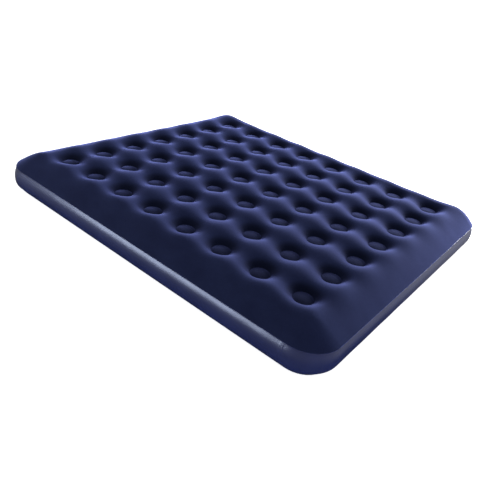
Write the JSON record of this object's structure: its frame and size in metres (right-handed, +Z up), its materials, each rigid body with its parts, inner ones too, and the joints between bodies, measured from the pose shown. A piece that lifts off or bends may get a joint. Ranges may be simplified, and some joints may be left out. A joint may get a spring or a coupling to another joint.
{
  "type": "air mattress",
  "caption": "Rectangular inflatable bed with rounded corners, a flocked dimpled top, a smooth side band, inner coil beams and a capped screw valve at one end.",
  "frame": {"origin": "centre of the flat underside, on the floor", "axes": "+X along the 2030 mm length, away from the valve end; +Y across the 1830 mm width; +Z up"},
  "size_m": [2.0416, 1.83, 0.22],
  "materials": {
    "flocked_top": "velvety flock, navy",
    "vinyl": "satin gloss vinyl, navy",
    "beam_vinyl": "plain vinyl, pale blue-grey",
    "valve_plastic": "moulded, satin, navy",
    "seal": "soft, matt, pale grey"
  },
  "bodies": {
    "base": {"bottom_sheet": "vinyl", "bottom_perimeter_weld": "vinyl", "side_band": "vinyl", "side_band_lap_strip": "vinyl", "coil_beam_1": "beam_vinyl", "coil_beam_2": "beam_vinyl", "coil_beam_3": "beam_vinyl", "coil_beam_4": "beam_vinyl", "coil_beam_5": "beam_vinyl", "coil_beam_6": "beam_vinyl", "coil_beam_7": "beam_vinyl"},
    "top": {"top_sheet": "flocked_top", "top_perimeter_weld": "vinyl"},
    "valve_seat": {"valve_base": "valve_plastic"},
    "gasket": {"valve_gasket": "seal"},
    "collar": {"valve_collar": "valve_plastic", "flap_seat": "valve_plastic", "cap_strap": "valve_plastic"},
    "flap": {"check_flap": "seal"},
    "cap": {"inflate_cap": "valve_plastic"}
  },
  "joints": [
    {"name": "top_sink", "type": "slide", "parent": "base", "child": "top", "axis": [0, 0, -1], "range_m": [0, 0.045], "stiffness_N_per_m": 15000, "springref_m": -0.004, "deforming": ["side_band", "side_band_lap_strip", "coil_beam_1", "coil_beam_2", "coil_beam_3", "coil_beam_4", "coil_beam_5", "coil_beam_6", "coil_beam_7"]},
    {"name": "valve_drop", "type": "slide", "parent": "base", "child": "valve_seat", "axis": [0, 0, -1], "range_m": [0, 0.0225]},
    {"name": "collar_travel", "type": "slide", "parent": "valve_seat", "child": "gasket", "axis": [-1, 0, 0], "range_m": [0, 0.0136]},
    {"name": "collar_turn", "type": "hinge", "parent": "gasket", "child": "collar", "pos_m": [-1.015, 0.56, 0.089], "axis": [-1, 0, 0], "range_deg": [0, 1080]},
    {"name": "cap_hinge", "type": "hinge", "parent": "collar", "child": "cap", "pos_m": [-1.0266, 0.56, 0.1064], "axis": [0, 1, 0], "range_deg": [0, 135]},
    {"name": "flap_open", "type": "slide", "parent": "collar", "child": "flap", "axis": [1, 0, 0], "range_m": [0, 0.0025], "stiffness_N_per_m": 40, "springref_m": -0.0003}
  ],
  "couplings": [
    {"joint": "valve_drop", "follows": "top_sink", "ratio": 0.5},
    {"joint": "collar_travel", "follows": "collar_turn", "m_per_rad": 0.0007162}
  ]
}
